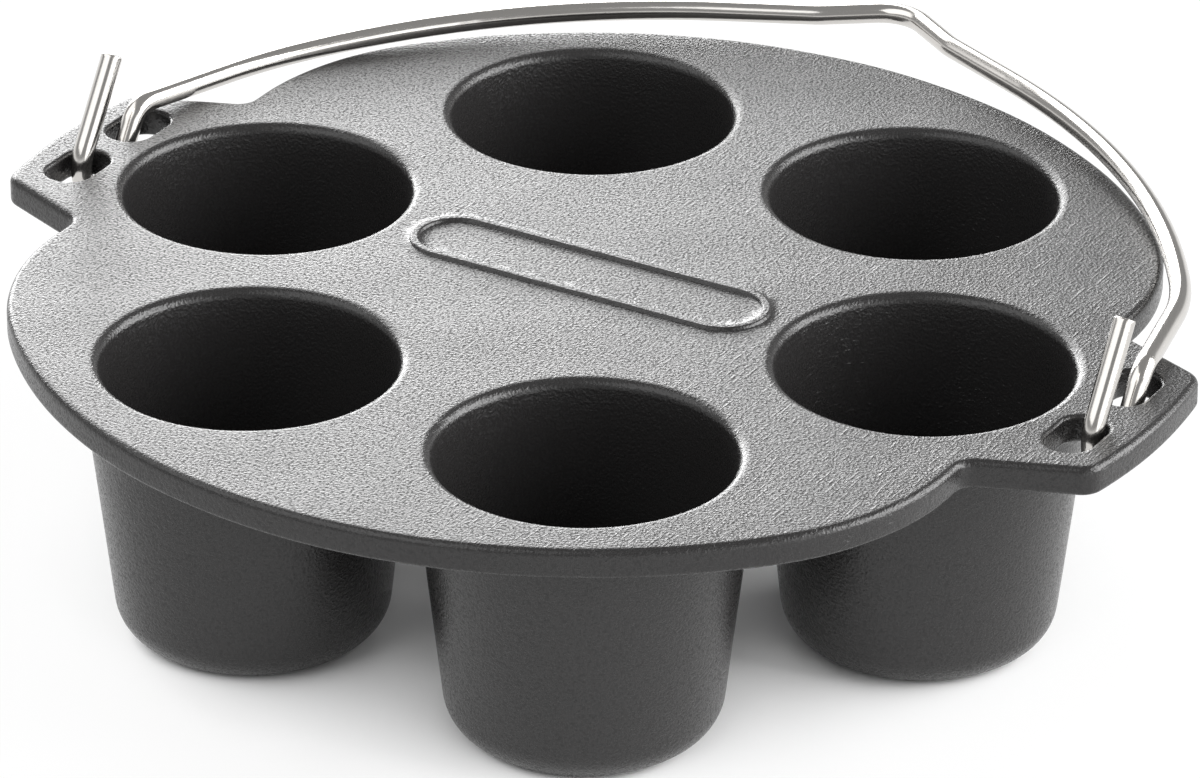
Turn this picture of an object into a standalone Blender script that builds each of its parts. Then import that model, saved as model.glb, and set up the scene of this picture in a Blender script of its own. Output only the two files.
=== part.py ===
"""Campfire muffin pan: one iron casting with six deep cups, and a steel wire bail hooked in its ears.

Run with: blender --background --python part.py
Metres, +Z up. The origin is the middle of the plate's top face, and +X points to the right-hand ear.
The bail lies folded down over the rear rim, and swings up about an axis along X.
"""
import math

import bmesh
import bpy

# Cups
CUP_COUNT = 6
CUP_MOUTH_RADIUS = 0.0349    # at the top face, as if the lip were sharp
CUP_SPACING = 0.0202         # iron between two neighbouring mouths
CUP_DRAFT = math.radians(6.5)
CUP_DEPTH = 0.070            # top face down to the foot
CUP_WALL = 0.0045
CUP_FLOOR = 0.004
CUP_FOOT_ROUND = 0.010       # outside corner between wall and foot
CUP_LIP_ROUND = 0.0026       # mouth edge
CUP_ROOT_ROUND = 0.002       # where the cup leaves the underside

# Plate
PLATE_THICKNESS = 0.007
PLATE_RIM = 0.0126           # iron outside the mouths, to the plate's round edge
PLATE_TOP_ROUND = 0.0018
PLATE_LOWER_ROUND = 0.001

# Ears, the notches beside them, and the slots for the bail
SLOT_WEB = 0.0055            # iron between a mouth and the slots
SLOT_WIDTH = 0.0114
SLOT_LENGTH = 0.0182
SLOT_CORNER_ROUND = 0.0054
SLOT_EDGE_ROUND = 0.0011
BRIDGE_WIDTH = 0.0082        # bar between an ear's two slots, which the bail hooks round
EAR_EDGE = 0.0082            # iron outside the slots
EAR_END = 0.0157             # iron past a slot's end, measured where the ear meets the notch
EAR_TAPER = math.radians(21.8)
EAR_CORNER_ROUND = 0.006
NOTCH_ROUND = 0.0045
NECK_SETBACK = 0.0171        # how far the round edge draws in beside the ears
NECK_HALF_LENGTH = 0.046     # from the ear's centre line to where the edge starts to draw in

# Bail, bent from one wire
WIRE_DIAMETER = 0.0052
HOOK_PLAY = 0.001            # wire to the bridge's corners as the hook turns
SIDE_PLAY = 0.0012           # wire to the outer side of its slots
LEG_LEAN = math.radians(33)  # hook legs lean to the rear with the bail folded down
STUB_LENGTH = 0.024          # free end above the hinge line
LEG_LENGTH = 0.015           # loop leg above the hinge line
LEG_BEND = 0.007
REST_GAP = 0.0003            # wire to the plate's top face where the loop lies on the rim
REST_REACH = 0.078           # back from the hinge line to there
LOOP_TILT = math.radians(2.4)
ARM_INSET = 0.0096           # arm corner, in from the legs
ARM_REACH = 0.0557           # arm corner, back from the hinge line
ARM_BEND = 0.060
SHOULDER_INSET = 0.0446      # shoulder corner, in from the legs
SHOULDER_DROP = 0.0447       # shoulder corner, short of the loop's tip
LOOP_OVERHANG = 0.0201       # loop's tip, past the plate's round edge
KINK_HALF_WIDTH = 0.0186     # hook kink in the middle of the loop
KINK_ANGLE = math.radians(33)
KINK_TIP_BEND = 0.012
KINK_FOOT_BEND = 0.018

# Facets
ROUND_STEPS = 36
FILLET_STEPS = 3
PLATE_STEP = math.radians(5)
BEND_STEP = math.radians(11)
WIRE_STEP = 0.006
WIRE_RESOLUTION = 4          # curve bevel resolution, which gives the wire twelve sides
SHARP_ANGLE = math.radians(35)
CUT_OVERRUN = 0.004          # cutters run this far past the faces they open
SAME_POINT = 1e-6            # points nearer than this are one point

# Places worked out from the sizes
CUP_RING_RADIUS = (2 * CUP_MOUTH_RADIUS + CUP_SPACING) / (2 * math.sin(math.pi / CUP_COUNT))
PLATE_RADIUS = CUP_RING_RADIUS + CUP_MOUTH_RADIUS + PLATE_RIM
SLOT_INNER = CUP_RING_RADIUS + CUP_MOUTH_RADIUS + SLOT_WEB
SLOT_OUTER = SLOT_INNER + SLOT_WIDTH
EAR_RADIUS = SLOT_OUTER + EAR_EDGE
EAR_HALF_ROOT = BRIDGE_WIDTH / 2 + SLOT_LENGTH + EAR_END
NECK_X = PLATE_RADIUS - NECK_SETBACK
HINGE_Z = -PLATE_THICKNESS / 2
HOOK_RADIUS = math.hypot(BRIDGE_WIDTH, PLATE_THICKNESS) / 2 + HOOK_PLAY + WIRE_DIAMETER / 2
LEG_X = SLOT_OUTER - SIDE_PLAY - WIRE_DIAMETER / 2


def steps_for(turn, step):
    """Number of equal steps, each no longer than the given one."""
    return max(1, math.ceil(abs(turn) / step - SAME_POINT))


def arc(centre, radius, start, end, step, hollow=False):
    """Points and outward normals on an arc; a hollow arc bows into the iron."""
    count = steps_for(end - start, step)
    side = -1 if hollow else 1
    found = []
    for index in range(count + 1):
        angle = start + (end - start) * index / count
        normal = (math.cos(angle), math.sin(angle))
        point = (centre[0] + side * radius * normal[0], centre[1] + side * radius * normal[1])
        found.append((point, normal))
    return found


def plate_quarter():
    """Plate edge from the middle of the right ear to the middle of the rear, as points and normals."""
    slope = math.pi / 2 - EAR_TAPER
    normal = (math.cos(slope), math.sin(slope))
    along = (normal[1], -normal[0])
    reach = normal[0] * NECK_X + normal[1] * EAR_HALF_ROOT

    # The ear's corner touches its outer arc and its straight side
    corner_reach = reach - EAR_CORNER_ROUND
    run = math.sqrt((EAR_RADIUS - EAR_CORNER_ROUND) ** 2 - corner_reach ** 2)
    corner = (normal[0] * corner_reach + along[0] * run, normal[1] * corner_reach + along[1] * run)
    corner_angle = math.atan2(corner[1], corner[0])

    # The notch's hollow corner touches the ear's side and the neck
    notch_x = NECK_X + NOTCH_ROUND
    notch = (notch_x, (reach + NOTCH_ROUND - normal[0] * notch_x) / normal[1])

    # The neck draws in on an arc that touches the plate's round edge
    blend_reach = (NECK_SETBACK ** 2 + NECK_HALF_LENGTH ** 2) / (2 * NECK_SETBACK)
    blend_radius = PLATE_RADIUS - blend_reach
    blend_angle = math.asin(NECK_HALF_LENGTH / blend_reach)
    blend = (NECK_X - blend_radius, NECK_HALF_LENGTH)

    edge = arc((0, 0), EAR_RADIUS, 0, corner_angle, PLATE_STEP)
    edge += arc(corner, EAR_CORNER_ROUND, corner_angle, slope, BEND_STEP * 2)[1:]
    edge += arc(notch, NOTCH_ROUND, slope, 0, BEND_STEP * 2, hollow=True)
    edge += arc(blend, blend_radius, 0, blend_angle, PLATE_STEP)
    edge += arc((0, 0), PLATE_RADIUS, blend_angle, math.pi / 2, PLATE_STEP)[1:]
    return edge


def slot_quarter(corner_x, corner_y):
    """One rounded corner of a slot centred on the origin, as points and normals."""
    round_radius = min(SLOT_CORNER_ROUND, corner_x, corner_y)
    centre = (corner_x - round_radius, corner_y - round_radius)
    return arc(centre, round_radius, 0, math.pi / 2, BEND_STEP * 2)


def full_outline(quarter):
    """Close a quarter of an outline by mirroring it in both axes, going round anticlockwise."""
    loop = []
    for flip_x, flip_y in ((1, 1), (-1, 1), (-1, -1), (1, -1)):
        part = [((p[0] * flip_x, p[1] * flip_y), (n[0] * flip_x, n[1] * flip_y)) for p, n in quarter]
        if flip_x * flip_y < 0:
            part.reverse()
        for point, normal in part:
            if not loop or math.dist(point, loop[-1][0]) > SAME_POINT:
                loop.append((point, normal))
    if math.dist(loop[0][0], loop[-1][0]) < SAME_POINT:
        loop.pop()
    return loop


def edge_round(radius, side, height, rise):
    """Levels of an edge round as (outset, height): side is the outset's sign, rise the way to the face."""
    levels = []
    for index in range(FILLET_STEPS + 1):
        turn = math.pi / 2 * index / FILLET_STEPS
        levels.append((side * radius * (1 - math.cos(turn)), height - rise * radius * (1 - math.sin(turn))))
    return levels


def loft(bm, outline, levels, centre=(0, 0)):
    """Closed body through the outline at each (outset, height) level, from the lowest up."""
    rings = []
    for outset, height in levels:
        ring = [bm.verts.new((centre[0] + p[0] + outset * n[0], centre[1] + p[1] + outset * n[1], height))
                for p, n in outline]
        rings.append(ring)
    count = len(outline)
    for low, high in zip(rings, rings[1:]):
        for index in range(count):
            after = (index + 1) % count
            bm.faces.new((low[index], low[after], high[after], high[index]))
    bm.faces.new(reversed(rings[0]))
    bm.faces.new(rings[-1])


def turned(bm, profile, centre):
    """Closed body turned about an upright axis from (radius, height) points, bottom pole first."""
    verts = [bm.verts.new((radius, 0, height)) for radius, height in profile]
    edges = [bm.edges.new(pair) for pair in zip(verts, verts[1:])]
    bmesh.ops.spin(bm, geom=verts + edges, cent=(0, 0, 0), axis=(0, 0, 1),
                   angle=2 * math.pi, steps=ROUND_STEPS, use_merge=True)
    bmesh.ops.remove_doubles(bm, verts=bm.verts, dist=SAME_POINT)
    bmesh.ops.recalc_face_normals(bm, faces=bm.faces)
    bmesh.ops.translate(bm, verts=bm.verts, vec=(centre[0], centre[1], 0))


def wall_radius(height, wall):
    """Radius of the cup's drafted wall at a height, for its inside (wall 0) or its outside."""
    return CUP_MOUTH_RADIUS + wall / math.cos(CUP_DRAFT) + height * math.tan(CUP_DRAFT)


def bottom_round(radius, floor, wall):
    """Pole, floor and corner arc up to the drafted wall, as (radius, height) points."""
    centre_z = floor + radius
    centre_r = wall_radius(centre_z, wall) - radius / math.cos(CUP_DRAFT)
    points = [(0, floor)]
    sweep = math.pi / 2 - CUP_DRAFT
    count = FILLET_STEPS + 1
    for index in range(count + 1):
        angle = -math.pi / 2 + sweep * index / count
        points.append((centre_r + radius * math.cos(angle), centre_z + radius * math.sin(angle)))
    return points


def cup_outside():
    """Profile of a cup's outside, from its foot to inside the plate, with the root round."""
    points = bottom_round(CUP_FOOT_ROUND, -CUP_DEPTH, CUP_WALL)
    root_z = -PLATE_THICKNESS - CUP_ROOT_ROUND
    root_r = wall_radius(root_z, CUP_WALL) + CUP_ROOT_ROUND / math.cos(CUP_DRAFT)
    for index in range(FILLET_STEPS + 1):
        angle = math.pi - CUP_DRAFT - (math.pi / 2 - CUP_DRAFT) * index / FILLET_STEPS
        points.append((root_r + CUP_ROOT_ROUND * math.cos(angle), root_z + CUP_ROOT_ROUND * math.sin(angle)))
    points.append((points[-1][0], HINGE_Z))
    points.append((0, HINGE_Z))
    return points


def cup_inside():
    """Profile of a cup's hollow, from its floor to above the plate, with the lip round."""
    inner_round = max(CUP_FOOT_ROUND - CUP_WALL, CUP_LIP_ROUND)
    points = bottom_round(inner_round, CUP_FLOOR - CUP_DEPTH, 0)
    lip_r = wall_radius(-CUP_LIP_ROUND, 0) + CUP_LIP_ROUND / math.cos(CUP_DRAFT)
    for index in range(FILLET_STEPS + 1):
        angle = math.pi - CUP_DRAFT - (math.pi / 2 - CUP_DRAFT) * index / FILLET_STEPS
        points.append((lip_r + CUP_LIP_ROUND * math.cos(angle), -CUP_LIP_ROUND + CUP_LIP_ROUND * math.sin(angle)))
    points.append((points[-1][0], CUT_OVERRUN))
    points.append((0, CUT_OVERRUN))
    return points


def cup_centres():
    """Places of the cups, evenly round the plate, the first on the right ear's centre line."""
    angles = [2 * math.pi * index / CUP_COUNT for index in range(CUP_COUNT)]
    return [(CUP_RING_RADIUS * math.cos(a), CUP_RING_RADIUS * math.sin(a)) for a in angles]


def new_object(name, bm):
    """Finish a mesh, shade its round faces smooth and link its object."""
    mesh = bpy.data.meshes.new(name)
    bm.to_mesh(mesh)
    bm.free()
    mesh.shade_smooth()
    mesh.set_sharp_from_angle(angle=SHARP_ANGLE)
    made = bpy.data.objects.new(name, mesh)
    bpy.context.scene.collection.objects.link(made)
    return made


def as_guide(guide):
    """A body that only shapes another one is drawn as wire and never rendered."""
    guide.hide_render = True
    guide.display_type = "WIRE"
    return guide


def turned_set(name, profile):
    """One object with a turned body at each cup."""
    bm = bmesh.new()
    for centre in cup_centres():
        single = bmesh.new()
        turned(single, profile, centre)
        mesh = bpy.data.meshes.new(name)
        single.to_mesh(mesh)
        single.free()
        bm.from_mesh(mesh)
        bpy.data.meshes.remove(mesh)
    return as_guide(new_object(name, bm))


def slot_set():
    """One object with the four slot cutters, flared at the plate's two faces."""
    outline = full_outline(slot_quarter(SLOT_WIDTH / 2, SLOT_LENGTH / 2))
    upper = edge_round(SLOT_EDGE_ROUND, 1, 0, 1)
    lower = [(outset, -PLATE_THICKNESS - height) for outset, height in reversed(upper)]
    levels = [(SLOT_EDGE_ROUND, -PLATE_THICKNESS - CUT_OVERRUN)] + lower + upper
    levels.append((SLOT_EDGE_ROUND, CUT_OVERRUN))
    middle_x = (SLOT_INNER + SLOT_OUTER) / 2
    middle_y = (BRIDGE_WIDTH + SLOT_LENGTH) / 2
    bm = bmesh.new()
    for x in (-middle_x, middle_x):
        for y in (-middle_y, middle_y):
            loft(bm, outline, levels, (x, y))
    return as_guide(new_object("slot_cutter", bm))


def boolean(target, other, operation):
    """Join or cut with another object, left live on the target."""
    modifier = target.modifiers.new(other.name, "BOOLEAN")
    modifier.operation = operation
    modifier.solver = "EXACT"
    modifier.object = other


def make_casting(iron):
    """Plate with ears, the cups under it, their hollows and the bail slots."""
    lower = edge_round(PLATE_LOWER_ROUND, -1, -PLATE_THICKNESS, -1)
    upper = edge_round(PLATE_TOP_ROUND, -1, 0, 1)
    levels = list(reversed(lower)) + upper
    bm = bmesh.new()
    loft(bm, full_outline(plate_quarter()), levels)
    casting = new_object("pan_casting", bm)
    casting.data.materials.append(iron)
    boolean(casting, turned_set("cup_body", cup_outside()), "UNION")
    boolean(casting, turned_set("cup_hollow", cup_inside()), "DIFFERENCE")
    boolean(casting, slot_set(), "DIFFERENCE")
    return casting


def minus(a, b):
    return tuple(p - q for p, q in zip(a, b))


def shifted(point, direction, distance):
    return tuple(p + distance * d for p, d in zip(point, direction))


def unit(vector):
    length = math.hypot(*vector)
    return tuple(c / length for c in vector)


def bend_run(before, corner, after, radius):
    """Distance from a bend's corner to where its arc starts."""
    one = unit(minus(before, corner))
    two = unit(minus(after, corner))
    between = math.acos(max(-1, min(1, sum(p * q for p, q in zip(one, two)))))
    return radius / math.tan(between / 2)


def bend_points(before, corner, after, radius):
    """Points of the arc that rounds a corner of the wire's route."""
    one = unit(minus(before, corner))
    two = unit(minus(after, corner))
    run = bend_run(before, corner, after, radius)
    turn = 2 * math.atan(run / radius)
    start = shifted(corner, one, run)
    inward = unit(minus(two, tuple(-c * math.cos(turn) for c in one)))
    centre = shifted(start, inward, radius)
    count = max(steps_for(turn, BEND_STEP), steps_for(turn * radius, WIRE_STEP))
    points = []
    for index in range(count + 1):
        angle = turn * index / count
        point = shifted(centre, inward, -radius * math.cos(angle))
        points.append(shifted(point, one, -radius * math.sin(angle)))
    return points


def wire_route():
    """Route of the wire's centre line about the hinge line, from the left free end to the right one."""
    up = (0, math.sin(LEG_LEAN), math.cos(LEG_LEAN))
    rear = (0, math.cos(LEG_LEAN), -math.sin(LEG_LEAN))
    middle = (LEG_X, 0, 0)
    near = shifted(middle, rear, -HOOK_RADIUS)
    far = shifted(middle, rear, HOOK_RADIUS)

    tip = PLATE_RADIUS + LOOP_OVERHANG
    rest_z = WIRE_DIAMETER / 2 + REST_GAP - HINGE_Z

    def on_loop(x, reach):
        return (x, reach * math.cos(LOOP_TILT), rest_z + (reach - REST_REACH) * math.sin(LOOP_TILT))

    corners = [
        (shifted(near, up, STUB_LENGTH), 0),
        (shifted(near, up, -HOOK_RADIUS), HOOK_RADIUS),
        (shifted(far, up, -HOOK_RADIUS), HOOK_RADIUS),
        (shifted(far, up, LEG_LENGTH), LEG_BEND),
        (on_loop(LEG_X - ARM_INSET, ARM_REACH), ARM_BEND),
        (on_loop(LEG_X - SHOULDER_INSET, tip - SHOULDER_DROP), None),
        (on_loop(KINK_HALF_WIDTH, tip - KINK_HALF_WIDTH * math.tan(KINK_ANGLE)), KINK_FOOT_BEND),
        (on_loop(0, tip), KINK_TIP_BEND),
    ]
    mirrored = [((-p[0], p[1], p[2]), radius) for p, radius in corners]
    corners = mirrored + corners[-2::-1]
    places = [place for place, radius in corners]
    radii = [radius for place, radius in corners]

    # The shoulder takes the largest bend that the straights beside it leave room for
    for index in [i for i, radius in enumerate(radii) if radius is None]:
        room = []
        for step in (-1, 1):
            other = index + step
            taken = bend_run(places[other - 1], places[other], places[other + 1], radii[other])
            room.append(math.dist(places[index], places[other]) - taken)
        one_metre = bend_run(places[index - 1], places[index], places[index + 1], 1)
        radii[index] = min(room) / one_metre

    route = [places[0]]
    for before, place, after, radius in zip(places, places[1:], places[2:], radii[1:-1]):
        for point in bend_points(before, place, after, radius):
            if math.dist(point, route[-1]) > SAME_POINT:
                route.append(point)
    route.append(places[-1])
    return route


def make_bail(steel):
    """Wire bail as a bevelled curve, its origin on the hinge line."""
    curve = bpy.data.curves.new("bail", "CURVE")
    curve.dimensions = "3D"
    curve.bevel_depth = WIRE_DIAMETER / 2
    curve.bevel_resolution = WIRE_RESOLUTION
    curve.use_fill_caps = True
    spline = curve.splines.new("POLY")
    route = wire_route()
    spline.points.add(len(route) - 1)
    for point, place in zip(spline.points, route):
        point.co = (*place, 1)
    curve.materials.append(steel)
    bail = bpy.data.objects.new("bail", curve)
    bail.location = (0, 0, HINGE_Z)
    bpy.context.scene.collection.objects.link(bail)
    return bail


def make_material(name, color, roughness, metallic):
    material = bpy.data.materials.new(name)
    material.use_nodes = True
    shader = material.node_tree.nodes["Principled BSDF"]
    shader.inputs["Base Color"].default_value = (*color, 1)
    shader.inputs["Roughness"].default_value = roughness
    shader.inputs["Metallic"].default_value = metallic
    return material


def main():
    for old in list(bpy.data.objects):
        bpy.data.objects.remove(old, do_unlink=True)
    make_casting(make_material("seasoned_iron", (0.05, 0.05, 0.052), 0.55, 0.4))
    make_bail(make_material("bright_steel", (0.72, 0.72, 0.74), 0.16, 1.0))


main()
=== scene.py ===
"""Looks of a round cast-iron muffin pan with a steel wire bail, around its packed frame.

Metres, +Z up. The origin is the middle of the plate's top face, +X points to the right-hand ear, and
the bail lies folded down over the rear rim. The iron casting and the wire are fine surfaces computed
from a few sizes, which match the frame's solids.
"""

import math

import bmesh
import bpy
import numpy as np
from bpy.props import FloatProperty, FloatVectorProperty, IntProperty, PointerProperty, StringProperty
from bpy.types import Operator, Panel, PropertyGroup
from mathutils import Matrix, Vector
from mathutils.geometry import delaunay_2d_cdt


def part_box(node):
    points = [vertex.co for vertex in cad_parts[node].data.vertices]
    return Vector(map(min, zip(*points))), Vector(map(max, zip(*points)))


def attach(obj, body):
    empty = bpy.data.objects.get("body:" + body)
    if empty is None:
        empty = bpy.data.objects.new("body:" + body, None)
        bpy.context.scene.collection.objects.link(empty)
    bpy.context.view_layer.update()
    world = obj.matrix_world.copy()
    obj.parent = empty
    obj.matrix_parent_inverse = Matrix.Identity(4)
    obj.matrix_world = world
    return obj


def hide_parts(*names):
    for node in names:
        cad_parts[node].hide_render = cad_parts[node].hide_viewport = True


bl_info = {
    "name": "Muffin pan",
    "version": (1, 0, 0),
    "blender": (4, 5, 0),
    "location": "3D View > Sidebar > Muffin pan",
    "description": "Cast-iron muffin pan with a wire bail, in a plain studio",
    "category": "Object",
}

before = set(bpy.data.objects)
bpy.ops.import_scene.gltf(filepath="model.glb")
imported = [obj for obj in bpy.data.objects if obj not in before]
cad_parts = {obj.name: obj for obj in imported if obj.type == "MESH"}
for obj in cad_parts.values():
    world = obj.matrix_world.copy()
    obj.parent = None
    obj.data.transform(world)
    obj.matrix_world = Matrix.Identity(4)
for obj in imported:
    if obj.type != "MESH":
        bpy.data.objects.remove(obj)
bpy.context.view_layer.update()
PAN_LOW, PAN_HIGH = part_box("pan_casting")

MM = 0.001
WELD = 2e-7                 # points nearer than this are one point
FIT = 0.5 * MM              # how far a surface's box may differ from its solid's


def size_value(name, description, default):
    """A length that a user can change, in metres."""
    return FloatProperty(name=name, description=description, default=default, min=0,
                         precision=5, unit="LENGTH")


def angle_value(name, description, degrees):
    """An angle, given here in degrees."""
    return FloatProperty(name=name, description=description, default=math.radians(degrees),
                         subtype="ANGLE")


def share_value(name, description, default):
    """A share from 0 to 1."""
    return FloatProperty(name=name, description=description, default=default, min=0, max=1,
                         subtype="FACTOR")


def power_value(name, description, default):
    """A lamp's power, in watts."""
    return FloatProperty(name=name, description=description, default=default, min=0, unit="POWER")


def hex_value(name, description, default):
    """An sRGB colour, as # and six hex digits."""
    return StringProperty(name=name, description=description, default=default, maxlen=7)


class MuffinPanSizes(PropertyGroup):
    """Sizes of the iron casting."""

    plate_radius: size_value("Plate radius", "Middle to the round edge", PAN_HIGH.y)
    plate_thickness: size_value("Plate thickness", "Top face to underside", 7 * MM)
    top_round: size_value("Top round", "Round along the plate's upper edge", 1.8 * MM)
    lower_round: size_value("Lower round", "Round along the plate's lower edge", 1 * MM)

    cup_count: IntProperty(name="Cups", description="Cups round the plate", default=6, min=2, max=12)
    cup_ring_radius: size_value("Cup ring", "Middle of the plate to a cup's axis", 90 * MM)
    cup_mouth_radius: size_value("Mouth radius", "Cup wall's inside, carried up to the top face", 34.9 * MM)
    cup_draft: angle_value("Draft", "Lean of a cup's wall", 6.5)
    cup_depth: size_value("Cup depth", "Top face to the foot", -PAN_LOW.z)
    cup_wall: size_value("Cup wall", "Thickness of a cup's wall", 4.5 * MM)
    cup_floor: size_value("Cup floor", "Thickness of a cup's floor", 4 * MM)
    foot_round: size_value("Foot round", "Outside corner between wall and foot", 10 * MM)
    lip_round: size_value("Lip round", "Round of a cup's mouth", 2.6 * MM)
    root_round: size_value("Root round", "Hollow corner where a cup leaves the underside", 2 * MM)
    root_round_least: size_value("Least root round", "The same beside a slot", 1.2 * MM)

    slot_inner: size_value("Slot inner side", "Middle of the plate to the slots", 130.4 * MM)
    slot_width: size_value("Slot width", "Across a slot, along X", 11.4 * MM)
    slot_length: size_value("Slot length", "Along a slot, along Y", 18.2 * MM)
    slot_corner: size_value("Slot corner", "Round of a slot's corners", 5.4 * MM)
    slot_upper_round: size_value("Slot upper round", "Round of a slot's upper edge", 1.1 * MM)
    slot_lower_round: size_value("Slot lower round", "Round of a slot's lower edge", 1 * MM)
    bridge_width: size_value("Bridge", "Iron between an ear's two slots", 8.2 * MM)

    ear_radius: size_value("Ear radius", "Middle of the plate to the ears' outer edge", PAN_HIGH.x)
    ear_half_root: size_value("Ear half root", "Half of an ear's width where it meets the notch", 38 * MM)
    ear_taper: angle_value("Ear taper", "Lean of an ear's sides", 21.8)
    ear_corner: size_value("Ear corner", "Round of an ear's corners", 6 * MM)
    notch_round: size_value("Notch round", "Hollow corner beside an ear", 4.5 * MM)
    neck_setback: size_value("Neck setback", "How far the round edge draws in beside the ears", 17.1 * MM)
    neck_half_length: size_value("Neck", "Ear's middle to where the edge starts to draw in", 46 * MM)

    ridge_length: size_value("Ridge length", "Round-ended ridge in the middle, along X", 96 * MM)
    ridge_width: size_value("Ridge width", "The same along Y", 23 * MM)
    ridge_base: size_value("Ridge base", "Width of the ridge itself", 2.7 * MM)
    ridge_height: size_value("Ridge height", "How far the ridge stands up", 0.75 * MM)

    wave_height: size_value("Sand waves", "Faint waves that the sand mould leaves", 0.07 * MM)
    wave_length: size_value("Sand wave length", "Crest to crest", 34 * MM)


class MuffinPanBailSizes(PropertyGroup):
    """Sizes of the wire bail."""

    wire_diameter: size_value("Wire", "Diameter of the wire", 5.2 * MM)
    hinge_drop: size_value("Hinge drop", "Top face down to the hinge line", 3.5 * MM)
    hook_radius: size_value("Hook radius", "Hook's bend, to the wire's middle", 8.9907 * MM)
    leg_x: size_value("Leg place", "Middle of the plate to a leg", 138 * MM)
    leg_lean: angle_value("Leg lean", "Lean of the hook legs to the rear", 33)
    stub_length: size_value("Free end", "Above the hinge line", 24 * MM)
    leg_length: size_value("Leg", "Above the hinge line", 15 * MM)
    leg_bend: size_value("Leg bend", "Between leg and loop", 7 * MM)
    rest_height: size_value("Rest height", "Top face to the wire's middle over the rim", 2.9 * MM)
    rest_reach: size_value("Rest reach", "Hinge line to there", 78 * MM)
    loop_tilt: angle_value("Loop tilt", "Rise of the loop to the rear", 2.4)
    arm_inset: size_value("Arm inset", "Arm corner, in from the legs", 9.6 * MM)
    arm_reach: size_value("Arm reach", "Arm corner, back from the hinge line", 55.7 * MM)
    arm_bend: size_value("Arm bend", "Bend of the arm corner", 60 * MM)
    shoulder_inset: size_value("Shoulder inset", "Shoulder corner, in from the legs", 44.6 * MM)
    shoulder_drop: size_value("Shoulder drop", "Shoulder corner, short of the tip", 44.7 * MM)
    loop_reach: size_value("Loop reach", "Tip, back from the hinge line", PAN_HIGH.y + 20.1 * MM)
    kink_half_width: size_value("Kink half width", "Hook kink in the middle", 18.6 * MM)
    kink_angle: angle_value("Kink angle", "Slope of the kink's sides", 33)
    kink_tip_bend: size_value("Kink tip bend", "Bend at the kink's tip", 12 * MM)
    kink_foot_bend: size_value("Kink foot bend", "Bend at the kink's feet", 18 * MM)
    cut_round: size_value("Cut round", "Broken edge round the cut ends", 0.5 * MM)


class MuffinPanIron(PropertyGroup):
    """Sand-cast iron, oiled and baked black."""

    dark: hex_value("Hollows", "Oil baked into the grain's hollows", "#1b1a1a")
    light: hex_value("Tops", "Grain tops, where the oil is thinnest", "#262525")
    grain_width: size_value("Grain", "Width of one grain of the moulding sand", 0.7 * MM)
    grain_depth: size_value("Grain depth", "Height of the grain", 0.2 * MM)
    side_grain: share_value("Side grain", "The grain's share of that height on walls and edges", 0.75)
    side_roughness: share_value("Side roughness", "Share of the top's roughness on walls and edges", 0.72)
    lump_width: size_value("Lumps", "Width of the slower unevenness", 3.2 * MM)
    lump_depth: size_value("Lump depth", "Height of the slower unevenness", 0.04 * MM)
    brush_width: size_value("Brush marks", "Width of one mark of the cleaning brush", 0.8 * MM)
    brush_length: size_value("Brush mark length", "Length of one mark, along Y", 11 * MM)
    brush_depth: size_value("Brush mark depth", "Height of the marks", 0.065 * MM)
    brush_patch: size_value("Brush patches", "Width of the patches with stronger marks", 45 * MM)
    brush_side: FloatProperty(
        name="Brush side", description="How much the marks gather to the right, per metre", default=1.2)
    roughness_low: share_value("Roughness, tops", "Roughness of the rubbed tops", 0.31)
    roughness_high: share_value("Roughness, hollows", "Roughness of the hollows", 0.62)


class MuffinPanSteel(PropertyGroup):
    """Drawn stainless wire, polished."""

    colour: hex_value("Colour", "Polished stainless steel", "#cfccc8")
    roughness: share_value("Roughness", "Polish of the wire", 0.16)
    line_width: size_value("Draw lines", "Width of a line left by the drawing die", 0.35 * MM)
    line_length: size_value("Draw line length", "Length of such a line", 25 * MM)
    line_depth: size_value("Draw line depth", "Depth of the lines", 0.004 * MM)


class MuffinPanStudio(PropertyGroup):
    """Camera, lamps and floor."""

    aim: FloatVectorProperty(name="Aim", description="What the camera looks at", subtype="XYZ",
                             unit="LENGTH", default=(32.4 * MM, -49.95 * MM, 0))
    distance: size_value("Distance", "Camera to its aim", 1752.1 * MM)
    azimuth: angle_value("Azimuth", "Camera's way round, from the front", 30.328)
    elevation: angle_value("Elevation", "Camera above the horizon", 27.335)
    roll: angle_value("Roll", "Camera's roll", 0.297)
    lens: FloatProperty(name="Lens", description="Focal length in mm, for a 36 mm sensor",
                        default=229.55, min=1)
    floor: hex_value("Floor", "Pale floor", "#f2f2f2")
    floor_glow: share_value("Floor glow", "Share of the floor seen as white light of its own", 0.88)
    floor_reach: size_value("Floor reach", "How near the pan has to be to hold that light back", 100 * MM)
    ceiling_light: share_value("Ceiling light", "Brightness over the white backdrop", 0.35)
    key_power: power_value("Key lamp", "Behind the pan to the left, mirrored in its flat top", 38.5)
    strip_power: power_value("Strip lamp", "Low in front of the key lamp, mirrored in the near lips", 14)
    right_power: power_value("Right lamp", "Large, to the right, on the cups' sides and the wire", 76)
    side_power: power_value("Side lamp", "Weak, between the right lamp and the camera, for the wire", 6.5)
    front_power: power_value("Front lamp", "Large and weak, high to the front, for the wire", 23)


class MUFFINPAN_OT_casting(Operator):
    """Make the iron casting: plate with ears and slots, and six cups."""

    bl_idname = "muffin_pan.casting"
    bl_label = "Iron casting"

    def execute(self, context):
        sizes = context.scene.muffin_pan_sizes
        iron = iron_material(context.scene.muffin_pan_iron)
        casting = finish_piece("iron_casting", casting_surface(sizes), iron,
                               wave=(sizes.wave_height, sizes.wave_length))
        check_fit(casting, "pan_casting", sizes.ridge_height)
        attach(casting, "pan")
        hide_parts("pan_casting")
        return {"FINISHED"}


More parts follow.
